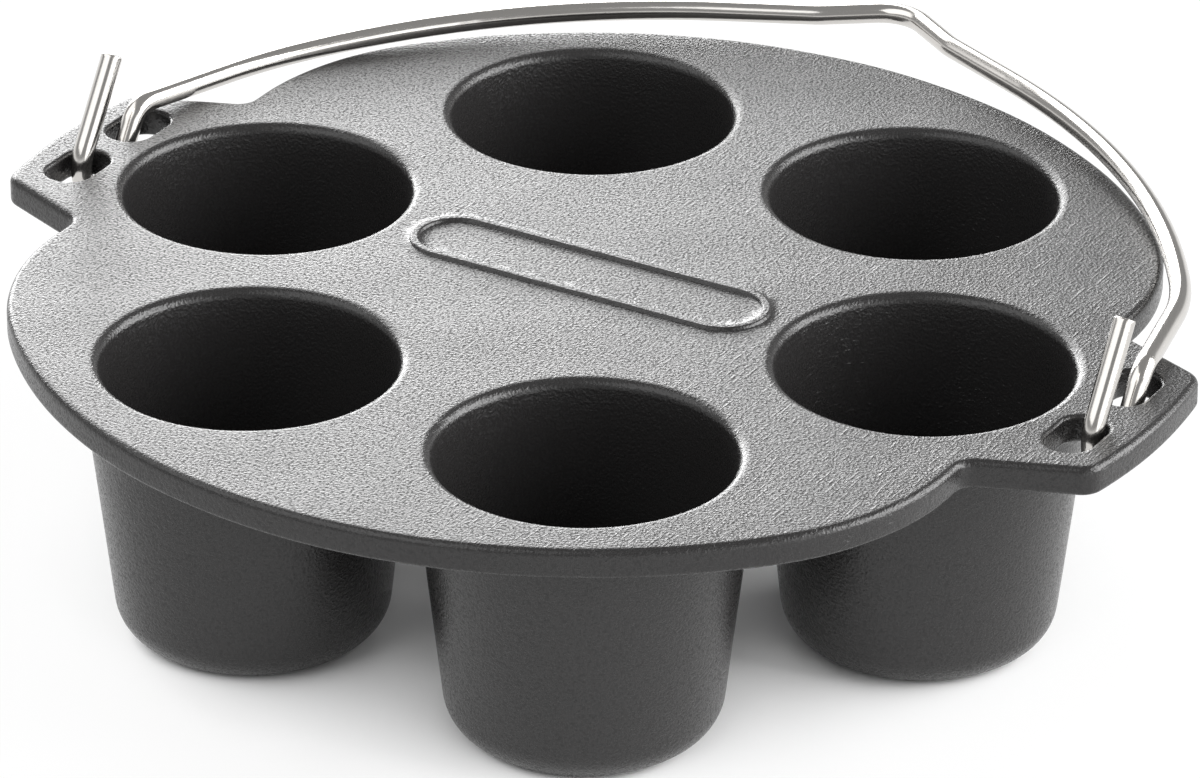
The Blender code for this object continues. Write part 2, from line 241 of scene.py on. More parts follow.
class MUFFINPAN_OT_bail(Operator):
    """Make the wire bail: hooks, legs and loop, bent from one wire."""

    bl_idname = "muffin_pan.bail"
    bl_label = "Wire bail"

    def execute(self, context):
        sizes = context.scene.muffin_pan_bail_sizes
        steel = steel_material(context.scene.muffin_pan_steel)
        tube, along_wire = wire_surface(sizes)
        wire = finish_piece("wire_bail", [tube], steel, along_wire)
        check_fit(wire, "bail", 0)
        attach(wire, "bail")
        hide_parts("bail")
        return {"FINISHED"}


class MUFFINPAN_OT_studio(Operator):
    """Make the floor, the backdrop's light, the lamps and the camera."""

    bl_idname = "muffin_pan.studio"
    bl_label = "Studio"

    def execute(self, context):
        studio = context.scene.muffin_pan_studio
        make_floor(studio)
        make_world(context.scene, studio)
        make_lamps(studio)
        make_camera(context.scene, studio)
        context.scene.view_settings.view_transform = "Standard"
        return {"FINISHED"}


OPERATORS = (MUFFINPAN_OT_casting, MUFFINPAN_OT_bail, MUFFINPAN_OT_studio)
GROUPS = {
    "muffin_pan_sizes": MuffinPanSizes,
    "muffin_pan_bail_sizes": MuffinPanBailSizes,
    "muffin_pan_iron": MuffinPanIron,
    "muffin_pan_steel": MuffinPanSteel,
    "muffin_pan_studio": MuffinPanStudio,
}


class MUFFINPAN_PT_build(Panel):
    """Buttons for the pieces, over the values that they use."""

    bl_idname = "MUFFINPAN_PT_build"
    bl_label = "Muffin pan"
    bl_space_type = "VIEW_3D"
    bl_region_type = "UI"
    bl_category = "Muffin pan"

    def draw(self, context):
        for operator in OPERATORS:
            self.layout.operator(operator.bl_idname)
        for name, group in GROUPS.items():
            box = self.layout.box()
            box.label(text=group.__doc__)
            for value in group.__annotations__:
                box.prop(getattr(context.scene, name), value)


def register():
    for group in GROUPS.values():
        bpy.utils.register_class(group)
    for name, group in GROUPS.items():
        setattr(bpy.types.Scene, name, PointerProperty(type=group))
    for operator in OPERATORS:
        bpy.utils.register_class(operator)
    bpy.utils.register_class(MUFFINPAN_PT_build)


def unregister():
    bpy.utils.unregister_class(MUFFINPAN_PT_build)
    for operator in reversed(OPERATORS):
        bpy.utils.unregister_class(operator)
    for name in GROUPS:
        delattr(bpy.types.Scene, name)
    for group in reversed(GROUPS.values()):
        bpy.utils.unregister_class(group)


# Outlines

EDGE_SPACING = 1.5 * MM       # points along the plate's edge
SLOT_SPACING = 0.7 * MM       # round a slot
RIDGE_SPACING = 1.4 * MM      # round the ridge
ROUND_COUNT = 144             # points round a cup


def arc(centre, radius, start, end, spacing, hollow=False):
    """Points c + r (cos a, sin a), or c - r (cos a, sin a) where hollow, each with the normal
    (cos a, sin a)."""
    count = max(3, math.ceil(abs(end - start) * radius / spacing) + 1)
    angle = np.linspace(start, end, count)
    normal = np.stack([np.cos(angle), np.sin(angle)], axis=1)
    return np.asarray(centre) + (-radius if hollow else radius) * normal, normal


def straight(start, end, normal, spacing):
    """Points p + s (q - p) for s from 0 to 1, all with one normal."""
    count = math.ceil(math.dist(start, end) / spacing) + 1
    share = np.linspace(0, 1, count)[:, None]
    points = np.asarray(start) * (1 - share) + np.asarray(end) * share
    return points, np.tile(normal, (count, 1))


def chained(runs):
    """Runs of points and normals end to end, without the points that repeat."""
    points = np.concatenate([run[0] for run in runs])
    normals = np.concatenate([run[1] for run in runs])
    step = np.linalg.norm(points - np.roll(points, 1, axis=0), axis=1)
    return points[step > WELD], normals[step > WELD]


def mirrored(quarter):
    """A whole outline, anticlockwise, from its first quarter mirrored in both axes."""
    points, normals = quarter
    runs = []
    for flip in ((1, 1), (-1, 1), (-1, -1), (1, -1)):
        turn = slice(None) if flip[0] * flip[1] > 0 else slice(None, None, -1)
        runs.append((points[turn] * flip, normals[turn] * flip))
    return chained(runs)


def plate_outline(s):
    """Outline of the plate: ear arc, corner arc, straight side, hollow notch arc, neck arc and round
    edge, each touching the next, for one quarter, mirrored."""
    slope = math.pi / 2 - s.ear_taper
    normal = np.array([math.cos(slope), math.sin(slope)])
    along = np.array([normal[1], -normal[0]])
    neck_x = s.plate_radius - s.neck_setback
    reach = normal @ (neck_x, s.ear_half_root)

    corner_reach = reach - s.ear_corner
    corner_along = math.sqrt((s.ear_radius - s.ear_corner) ** 2 - corner_reach ** 2)
    corner = normal * corner_reach + along * corner_along
    corner_angle = math.atan2(corner[1], corner[0])
    notch_x = neck_x + s.notch_round
    notch = np.array([notch_x, (reach + s.notch_round - normal[0] * notch_x) / normal[1]])
    blend_reach = (s.neck_setback ** 2 + s.neck_half_length ** 2) / (2 * s.neck_setback)
    blend_radius = s.plate_radius - blend_reach
    blend_angle = math.asin(s.neck_half_length / blend_reach)
    blend = (neck_x - blend_radius, s.neck_half_length)

    side_start = corner + s.ear_corner * normal
    side_end = notch - s.notch_round * normal
    return mirrored(chained([
        arc((0, 0), s.ear_radius, 0, corner_angle, EDGE_SPACING),
        arc(corner, s.ear_corner, corner_angle, slope, EDGE_SPACING / 2),
        straight(side_start, side_end, normal, EDGE_SPACING),
        arc(notch, s.notch_round, slope, 0, EDGE_SPACING / 2, hollow=True),
        straight((neck_x, notch[1]), (neck_x, s.neck_half_length), (1, 0), EDGE_SPACING),
        arc(blend, blend_radius, 0, blend_angle, EDGE_SPACING),
        arc((0, 0), s.plate_radius, blend_angle, math.pi / 2, EDGE_SPACING),
    ]))


def oblong_outline(half_x, half_y, corner, spacing):
    """Rectangle with round corners about the origin."""
    inner = (half_x - corner, half_y - corner)
    return mirrored(chained([
        straight((half_x, 0), (half_x, inner[1]), (1, 0), spacing),
        arc(inner, corner, 0, math.pi / 2, spacing),
        straight((inner[0], half_y), (0, half_y), (0, 1), spacing),
    ]))


def circle_outline():
    """Unit circle; its points are their own normals."""
    angle = np.linspace(0, 2 * math.pi, ROUND_COUNT, endpoint=False)
    points = np.stack([np.cos(angle), np.sin(angle)], axis=1)
    return points, points


# Surfaces

FACE_SPACING = 2.2 * MM       # points inside the top face
UNDERSIDE_SPACING = 3.52 * MM   # the same on the underside
GRID_CLEARANCE = 0.62         # share of the spacing that is kept free along the loops
MARGIN = 0.3 * MM             # flat strip between a round and the rest of the top face
BLOCK = 2000                  # points compared at once, to spare memory

# Steps round or along each part of a profile
FLOOR_STEPS = 7
FOOT_STEPS = 12
HOLLOW_STEPS = 8
WALL_STEPS = 14
LIP_STEPS = 8
ROOT_STEPS = 6
LOWER_EDGE_STEPS = 4
SLOT_EDGE_STEPS = 6
RIM_SIDE_STEPS = 3
RIM_TOP_STEPS = 10
RIDGE_STEPS = 20
RIDGE_POWER = 6               # flatness of the ridge's top: 2 is a hump, 6 has steep sides

SLOT_SIDE = math.radians(12)  # a root round is least within this angle of an ear, and eases over as much


def rings(outline, outset, height, centre=(0, 0)):
    """Grid c + p + outset n at each height: one ring of the outline for each (outset, height) pair."""
    points, normals = outline
    outset = np.asarray(outset, dtype=float)
    height = np.asarray(height, dtype=float)
    flat = np.asarray(centre) + points + outset[:, None, None] * normals
    return np.concatenate([flat, np.broadcast_to(height[:, None, None], flat.shape[:2] + (1,))], axis=2)


def band(grid, inward=False):
    """Quads (i, j), (i, j+1), (i+1, j+1), (i+1, j) of a grid whose rings close on themselves."""
    index = np.arange(grid.shape[0] * grid.shape[1]).reshape(grid.shape[:2])
    after = np.roll(index, -1, axis=1)
    faces = np.stack([index[:-1], after[:-1], after[1:], index[1:]], axis=-1).reshape(-1, 4)
    return grid.reshape(-1, 3), faces[:, ::-1] if inward else faces


def quarter_round(radius, steps):
    """Distances in from both sides of a quarter circle, r (1 - cos a) and r (1 - sin a), for a from 0
    to 90 degrees."""
    angle = np.linspace(0, math.pi / 2, steps + 1)
    return radius * (1 - np.cos(angle)), radius * (1 - np.sin(angle))


def even_odd(points, loops):
    """Whether each point lies inside an odd number of the loops, by the crossings of a ray along +X."""
    start = np.concatenate(loops)
    end = np.concatenate([np.roll(loop, -1, axis=0) for loop in loops])
    inside = np.zeros(len(points), dtype=bool)
    for block in np.array_split(np.arange(len(points)), max(1, len(points) // BLOCK)):
        x, y = points[block, 0][:, None], points[block, 1][:, None]
        crosses = (start[:, 1] > y) != (end[:, 1] > y)
        rise = np.where(end[:, 1] == start[:, 1], 1, end[:, 1] - start[:, 1])
        meets = start[:, 0] + (y - start[:, 1]) * (end[:, 0] - start[:, 0]) / rise
        inside[block] = (crosses & (x < meets)).sum(axis=1) % 2 == 1
    return inside


def clear_of(points, others, distance):
    """Whether each point is at least that far from all the others."""
    clear = np.zeros(len(points), dtype=bool)
    for block in np.array_split(np.arange(len(points)), max(1, len(points) // BLOCK)):
        apart = np.linalg.norm(points[block, None] - others[None], axis=2)
        clear[block] = apart.min(axis=1) > distance
    return clear


def flat_face(loops, height, spacing, downward=False):
    """Flat face between loops: Delaunay triangles over the loops and a hexagonal grid of points between
    them, less the triangles whose middle lies in a hole."""
    loops = [loop[:, :2] for loop in loops]
    edge_points = np.concatenate(loops)
    low, high = edge_points.min(axis=0), edge_points.max(axis=0)
    across = np.arange(low[0], high[0], spacing)
    rows = np.arange(low[1], high[1], spacing * math.sqrt(3) / 2)
    grid = np.stack(np.meshgrid(across, rows), axis=2)
    grid[1::2, :, 0] += spacing / 2
    grid = grid.reshape(-1, 2)
    grid = grid[even_odd(grid, loops)]
    grid = grid[clear_of(grid, edge_points, spacing * GRID_CLEARANCE)]

    count = np.cumsum([0] + [len(loop) for loop in loops])
    runs = [np.arange(first, after) for first, after in zip(count, count[1:])]
    edges = np.concatenate([np.stack([run, np.roll(run, -1)], axis=1) for run in runs])
    points = [Vector(point) for point in np.concatenate([edge_points, grid])]
    made = delaunay_2d_cdt(points, edges.tolist(), [], 0, WELD / 10, False)
    flat = np.array([tuple(p) for p in made[0]])
    faces = np.array(made[2])
    faces = faces[even_odd(flat[faces].mean(axis=1), loops)]
    return np.column_stack([flat, np.full(len(flat), height)]), faces[:, ::-1] if downward else faces


def wall_radius(s, height, wall):
    """Radius of a cup's drafted wall: mouth radius + wall / cos(draft) + height tan(draft)."""
    return s.cup_mouth_radius + wall / math.cos(s.cup_draft) + height * math.tan(s.cup_draft)


def bottom_profile(s, corner, floor, wall, steps):
    """Radii and heights from the pole over the flat floor and up a round corner, c + r (cos a, sin a)
    for a from -90 degrees to the wall's lean."""
    middle_z = floor + corner
    middle_r = wall_radius(s, middle_z, wall) - corner / math.cos(s.cup_draft)
    angle = np.linspace(-math.pi / 2, -s.cup_draft, steps + 1)
    disc = np.linspace(0, middle_r, FLOOR_STEPS + 1)[:-1]
    radius = np.concatenate([disc, middle_r + corner * np.cos(angle)])
    height = np.concatenate([np.full(len(disc), floor), middle_z + corner * np.sin(angle)])
    return radius, height


def turned(radius, height, centre):
    """Grid (c + r cos a, c + r sin a, h), where r and h may change with the angle a as well as from
    row to row."""
    circle, _ = circle_outline()
    radius = np.broadcast_to(radius.reshape(len(radius), -1), (len(radius), ROUND_COUNT))
    height = np.broadcast_to(height.reshape(len(height), -1), radius.shape)
    return np.concatenate([np.asarray(centre) + radius[..., None] * circle, height[..., None]], axis=2)


def cup_hollow(s, centre):
    """Inside of a cup: floor, corner, drafted wall, lip round and a flat margin, turned about its axis."""
    corner = s.foot_round - s.cup_wall
    radius, height = bottom_profile(s, corner, s.cup_floor - s.cup_depth, 0, HOLLOW_STEPS)
    lip = s.lip_round
    angle = np.linspace(math.pi - s.cup_draft, math.pi / 2, LIP_STEPS + 1)
    lip_radius = wall_radius(s, -lip, 0) + lip / math.cos(s.cup_draft) + lip * np.cos(angle)
    lip_height = lip * np.sin(angle) - lip
    wall_height = np.linspace(height[-1], lip_height[0], WALL_STEPS + 1)[1:-1]
    radius = np.concatenate([radius, wall_radius(s, wall_height, 0), lip_radius, [lip_radius[-1] + MARGIN]])
    height = np.concatenate([height, wall_height, lip_height, [0]])
    return turned(radius, height, centre)


def root_rounds(s, centre):
    """Root round at each angle, which eases to its least value beside an ear's slots by 3t^2 - 2t^3."""
    circle, _ = circle_outline()
    if abs(centre[1]) > WELD:
        return np.full(ROUND_COUNT, s.root_round)
    outward = circle @ np.array([math.copysign(1, centre[0]), 0])
    apart = np.arccos(np.clip(outward, -1, 1))
    share = np.clip(apart / SLOT_SIDE - 1, 0, 1)
    ease = share * share * (3 - 2 * share)
    return s.root_round_least + (s.root_round - s.root_round_least) * ease


def cup_body(s, centre):
    """Outside of a cup: foot, corner, drafted wall and root round, turned about its axis."""
    radius, height = bottom_profile(s, s.foot_round, -s.cup_depth, s.cup_wall, FOOT_STEPS)
    root = root_rounds(s, centre)
    root_z = -s.plate_thickness - root
    root_r = wall_radius(s, root_z, s.cup_wall) + root / math.cos(s.cup_draft)
    angle = np.linspace(math.pi - s.cup_draft, math.pi / 2, ROOT_STEPS + 1)[:, None]
    root_radius = root_r + root * np.cos(angle)
    root_height = root_z + root * np.sin(angle)
    share = np.linspace(0, 1, WALL_STEPS + 1)[1:-1, None]
    wall_height = height[-1] * (1 - share) + root_height[0] * share
    whole = np.ones(ROUND_COUNT)
    radius = np.concatenate([radius[:, None] * whole, wall_radius(s, wall_height, s.cup_wall), root_radius])
    height = np.concatenate([height[:, None] * whole, wall_height, root_height])
    return turned(radius, height, centre)


def slot_wall(s, centre):
    """Wall of a slot, rounded out at both faces."""
    outline = oblong_outline(s.slot_width / 2, s.slot_length / 2, s.slot_corner, SLOT_SPACING)
    low_out, low_up = quarter_round(s.slot_lower_round, LOWER_EDGE_STEPS)
    top_out, top_up = quarter_round(s.slot_upper_round, SLOT_EDGE_STEPS)
    outset = np.concatenate([low_out[::-1], top_out, [top_out[-1] + MARGIN]])
    height = np.concatenate([(low_up - s.plate_thickness)[::-1], -top_up, [0]])
    return rings(outline, outset, height, centre)


def ridge(s):
    """Round-ended ridge: its height is h (1 - u^6)^2 across its base, u from 1 outside to -1 inside."""
    u = np.linspace(1, -1, RIDGE_STEPS + 1)
    outset = u * s.ridge_base / 2
    half_x = (s.ridge_length - s.ridge_base) / 2
    half_y = (s.ridge_width - s.ridge_base) / 2
    outline = oblong_outline(half_x, half_y, half_y, RIDGE_SPACING)
    return rings(outline, outset, s.ridge_height * (1 - u ** RIDGE_POWER) ** 2)


def rim(s):
    """Edge of the plate along its outline: underside margin, lower round, side, top round, top margin."""
    low_in, low_up = quarter_round(s.lower_round, LOWER_EDGE_STEPS)
    top_in, top_up = quarter_round(s.top_round, RIM_TOP_STEPS)
    side = np.linspace(s.lower_round - s.plate_thickness, -s.top_round, RIM_SIDE_STEPS + 1)[1:-1]
    outset = np.concatenate([
        [-s.lower_round - MARGIN], -low_in[::-1], np.zeros(len(side)), -top_in, [-s.top_round - 2 * MARGIN]])
    height = np.concatenate([
        [-s.plate_thickness], (low_up - s.plate_thickness)[::-1], side, -top_up, [0]])
    return rings(plate_outline(s), outset, height)


def casting_surface(s):
    """All the casting's surfaces: rim, cups, slots and ridge, with flat faces between their edge rings."""
    angles = 2 * math.pi * np.arange(s.cup_count) / s.cup_count
    centres = s.cup_ring_radius * np.stack([np.cos(angles), np.sin(angles)], axis=1)
    centres[np.abs(centres) < WELD] = 0
    slot_x = s.slot_inner + s.slot_width / 2
    slot_y = (s.bridge_width + s.slot_length) / 2

    edge = rim(s)
    hollows = [cup_hollow(s, centre) for centre in centres]
    bodies = [cup_body(s, centre) for centre in centres]
    slots = [slot_wall(s, (x, y)) for x in (-slot_x, slot_x) for y in (-slot_y, slot_y)]
    raised = ridge(s)

    top_loops = [edge[-1], raised[0], raised[-1]] + [grid[-1] for grid in hollows + slots]
    under_loops = [edge[0]] + [grid[-1] for grid in bodies] + [grid[0] for grid in slots]
    surfaces = [band(edge), band(raised)]
    surfaces += [band(grid, inward=True) for grid in hollows + slots]
    surfaces += [band(grid) for grid in bodies]
    surfaces.append(flat_face(top_loops, 0, FACE_SPACING))
    surfaces.append(flat_face(under_loops, -s.plate_thickness, UNDERSIDE_SPACING, downward=True))
    return surfaces


# Wire

WIRE_SPACING = 1 * MM         # points along the wire
WIRE_SIDES = 24               # points round it
BEND_STEP = math.radians(2)   # turn between two points of a bend
CUT_STEPS = 5                 # steps round the broken edge of a cut end
CUT_RING = 0.9                # an extra ring on the cut's flat keeps it flat to the eye
CUT_CLEARANCE = 1.5           # broken edges' worth of wire, from each cut to its first plain ring
EASE_START = 20 * MM          # from here to there, along Y, the tube's cross-section axis eases
EASE_END = 50 * MM


def wire_corners(s):
    """Corner points of the wire's middle line and the bend radius at each, from the left free end to the
    right one, about the hinge line; None is the largest bend that the straights leave room for."""
    up = np.array([0, math.sin(s.leg_lean), math.cos(s.leg_lean)])
    rear = np.array([0, math.cos(s.leg_lean), -math.sin(s.leg_lean)])
    near = np.array([s.leg_x, 0, 0]) - rear * s.hook_radius
    far = near + 2 * rear * s.hook_radius
    rest_z = s.rest_height + s.hinge_drop
    sin_tilt, cos_tilt = math.sin(s.loop_tilt), math.cos(s.loop_tilt)

    def on_loop(x, reach):
        """Point of the loop's plane, which passes through the rest point at the loop's tilt."""
        return np.array([x, reach * cos_tilt, rest_z + (reach - s.rest_reach) * sin_tilt])

    kink_foot_reach = s.loop_reach - s.kink_half_width * math.tan(s.kink_angle)
    half = [
        (near + up * s.stub_length, 0),
        (near - up * s.hook_radius, s.hook_radius),
        (far - up * s.hook_radius, s.hook_radius),
        (far + up * s.leg_length, s.leg_bend),
        (on_loop(s.leg_x - s.arm_inset, s.arm_reach), s.arm_bend),
        (on_loop(s.leg_x - s.shoulder_inset, s.loop_reach - s.shoulder_drop), None),
        (on_loop(s.kink_half_width, kink_foot_reach), s.kink_foot_bend),
        (on_loop(0, s.loop_reach), s.kink_tip_bend),
    ]
    left = [(place * (-1, 1, 1), bend) for place, bend in half]
    return left + half[-2::-1]


def unit(vector):
    """The vector over its length."""
    return vector / np.linalg.norm(vector)


def bend_run(before, corner, after):
    """Distance from a corner to where a bend of radius 1 starts, 1 / tan(half the angle)."""
    between = math.acos(unit(before - corner) @ unit(after - corner))
    return 1 / math.tan(between / 2)


def bend_arc(before, corner, after, radius):
    """Arc c - r (i cos a + o sin a) that rounds a corner: i points from its start to its middle c, and o
    back along the run it leaves."""
    one, two = unit(before - corner), unit(after - corner)
    run = radius * bend_run(before, corner, after)
    turn = 2 * math.atan(run / radius)
    inward = unit(two + one * math.cos(turn))
    centre = corner + one * run + inward * radius
    angle = np.linspace(0, turn, math.ceil(turn / BEND_STEP) + 1)[:, None]
    return centre - radius * (inward * np.cos(angle) + one * np.sin(angle))


def wire_line(s):
    """Middle line of the wire, straights and arcs, as evenly spaced points, with their distance along it."""
    corners = wire_corners(s)
    places = [place for place, bend in corners]
    bends = [bend for place, bend in corners]
    runs = [bend_run(*places[i - 1:i + 2]) for i in range(1, len(places) - 1)]
    for index in [i for i, bend in enumerate(bends) if bend is None]:
        room = [math.dist(places[index], places[other]) - bends[other] * runs[other - 1]
                for other in (index - 1, index + 1)]
        bends[index] = min(room) / runs[index - 1]
    arcs = [bend_arc(*places[i - 1:i + 2], bends[i]) for i in range(1, len(places) - 1)]
    line = np.concatenate([places[:1], *arcs, places[-1:]])
    length = np.append(0, np.cumsum(np.linalg.norm(np.diff(line, axis=0), axis=1)))
    reach = np.linspace(0, length[-1], math.ceil(length[-1] / WIRE_SPACING))
    return np.stack([np.interp(reach, length, axis) for axis in line.T], axis=1), reach


def wire_surface(s):
    """Tube p + r (u cos a + v sin a) along the middle line, with a broken edge round each flat end. u is
    the X axis at the hooks and eases to the loop's normal along the arms by 3t^2 - 2t^3. Also gives
    (r cos a, r sin a, distance along the wire) at each point, for patterns that follow the wire."""
    line, reach = wire_line(s)
    along = np.gradient(line, reach, axis=0)
    along /= np.linalg.norm(along, axis=1)[:, None]

    # An end from its pole: a flat disc, then a quarter circle out to the wire's side
    radius = s.wire_diameter / 2
    turn = np.linspace(0, math.pi / 2, CUT_STEPS + 1)
    face = radius - s.cut_round
    setback = np.append([0, 0], s.cut_round * (1 - np.cos(turn)))
    end_radius = np.append([0, CUT_RING * face], face + s.cut_round * np.sin(turn))
    clearance = CUT_CLEARANCE * s.cut_round
    middle = (reach > clearance) & (reach < reach[-1] - clearance)
    reach_all = np.concatenate([setback, reach[middle], reach[-1] - setback[::-1]])
    width = np.concatenate([end_radius, np.full(middle.sum(), radius), end_radius[::-1]])
    place = np.stack([np.interp(reach_all, reach, axis) for axis in line.T], axis=1)
    tangent = np.stack([np.interp(reach_all, reach, axis) for axis in along.T], axis=1)
    tangent /= np.linalg.norm(tangent, axis=1)[:, None]

    share = np.clip((place[:, 1] - EASE_START) / (EASE_END - EASE_START), 0, 1)[:, None]
    ease = share * share * (3 - 2 * share)
    guide = (1 - ease) * (1, 0, 0) + ease * (0, -math.sin(s.loop_tilt), math.cos(s.loop_tilt))
    across = guide - (guide * tangent).sum(axis=1)[:, None] * tangent
    across /= np.linalg.norm(across, axis=1)[:, None]

    angle = np.linspace(0, 2 * math.pi, WIRE_SIDES, endpoint=False)[:, None]
    spoke = across[:, None] * np.cos(angle) + np.cross(tangent, across)[:, None] * np.sin(angle)
    grid = place[:, None] + width[:, None, None] * spoke - (0, 0, s.hinge_drop)
    circle = radius * np.concatenate([np.cos(angle), np.sin(angle)], axis=1)
    drawn = np.concatenate([np.broadcast_to(circle, grid.shape[:2] + (2,)),
                            np.broadcast_to(reach_all[:, None, None], grid.shape[:2] + (1,))], axis=2)
    return band(grid), drawn.reshape(-1, 3)


# Pieces

WAVE_WAYS = np.array([[1, 0.31, 0.2], [-0.47, 1, -0.3], [0.74, -0.66, 0.5]])
WAVE_STARTS = np.array([0, 1.9, 4.1])   # where each wave starts, so that no three crests meet


def finish_piece(name, surfaces, material, attribute=None, wave=None):
    """One closed mesh from surfaces that share their edge points, welded, shaded smooth and linked."""
    counts = np.cumsum([0] + [len(points) for points, faces in surfaces])
    points = np.concatenate([points for points, faces in surfaces])
    faces = [face for (_, quads), first in zip(surfaces, counts) for face in (quads + first).tolist()]
    mesh = bpy.data.meshes.new(name)
    mesh.from_pydata(points, [], faces)
    if attribute is not None:
        layer = mesh.attributes.new("along_wire", "FLOAT_VECTOR", "POINT")
        layer.data.foreach_set("vector", attribute.astype(np.float32).ravel())
    bm = bmesh.new()
    bm.from_mesh(mesh)
    bmesh.ops.remove_doubles(bm, verts=bm.verts, dist=WELD)
    open_edges = sum(1 for edge in bm.edges if len(edge.link_faces) != 2)
    volume = bm.calc_volume(signed=True)
    bm.to_mesh(mesh)
    bm.free()
    if open_edges or volume <= 0:
        raise RuntimeError(f"{name}: {open_edges} edges don't join two faces, volume {volume}")
    if wave is not None:
        lift_waves(mesh, *wave)
    mesh.shade_smooth()
    mesh.materials.append(material)
    made = bpy.data.objects.new(name, mesh)
    bpy.context.scene.collection.objects.link(made)
    return made


def lift_waves(mesh, height, length):
    """Move each point p along its normal by h times the mean of sin(2 pi w . p / length + start) over
    three unlike ways w."""
    count = len(mesh.vertices)
    points = np.empty(count * 3, dtype=np.float32)
    mesh.vertices.foreach_get("co", points)
    points = points.reshape(-1, 3)
    normals = np.empty(count * 3, dtype=np.float32)
    mesh.vertex_normals.foreach_get("vector", normals)
    waves = np.sin(points @ WAVE_WAYS.T * (2 * math.pi / length) + WAVE_STARTS).mean(axis=1)
    points += height * waves[:, None] * normals.reshape(-1, 3)
    mesh.vertices.foreach_set("co", points.ravel())
    mesh.update()


def check_fit(piece, node, above):
    """Stop if a piece's box differs from its node's, but for detail that stands above it."""
    low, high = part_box(node)
    corners = np.array(piece.bound_box)
    differs = np.abs([corners.min(axis=0) - low, corners.max(axis=0) - (high + Vector((0, 0, above)))])
    if differs.max() > FIT:
        raise RuntimeError(f"{piece.name} departs {differs.max():.5f} m from {node}")


# Materials

# Levels between which a pattern goes from nothing to full; a noise lies round 0.5
GRAIN_RISE = (0.34, 0.52)     # small pits, wide tops
STROKE_RISE = (0.55, 0.75)    # only the noise's peaks are brush marks
PATCH_RISE = (0.45, 0.65)
PATCH_LEAST = 0.1             # share of the marks that is left between patches
FACING_UP = (0.93, 0.998)     # upward share of the normal, from walls and round edges to flat tops
LINE_RISE = (0.3, 0.7)
LINE_POLISH = (0.8, 1.3)      # least and most of the wire's roughness across its lines


def linear(text):
    """Linear colour of an sRGB hex value."""
    share = [int(text[i:i + 2], 16) / 255 for i in (1, 3, 5)]
    return [v / 12.92 if v <= 0.04045 else ((v + 0.055) / 1.055) ** 2.4 for v in share] + [1]


def add_node(tree, kind, inputs=None, **settings):
    """Add a node; each input takes a value, or a link from the socket that is given for it."""
    node = tree.nodes.new(kind)
    for name, value in settings.items():
        setattr(node, name, value)
    for name, value in (inputs or {}).items():
        if isinstance(value, bpy.types.NodeSocket):
            tree.links.new(value, node.inputs[name])
        else:
            node.inputs[name].default_value = value
    return node


def new_material(name):
    """A material of that name, its node tree and its shader."""
    material = bpy.data.materials.new(name)
    material.use_nodes = True
    tree = material.node_tree
    return material, tree, tree.nodes["Principled BSDF"]


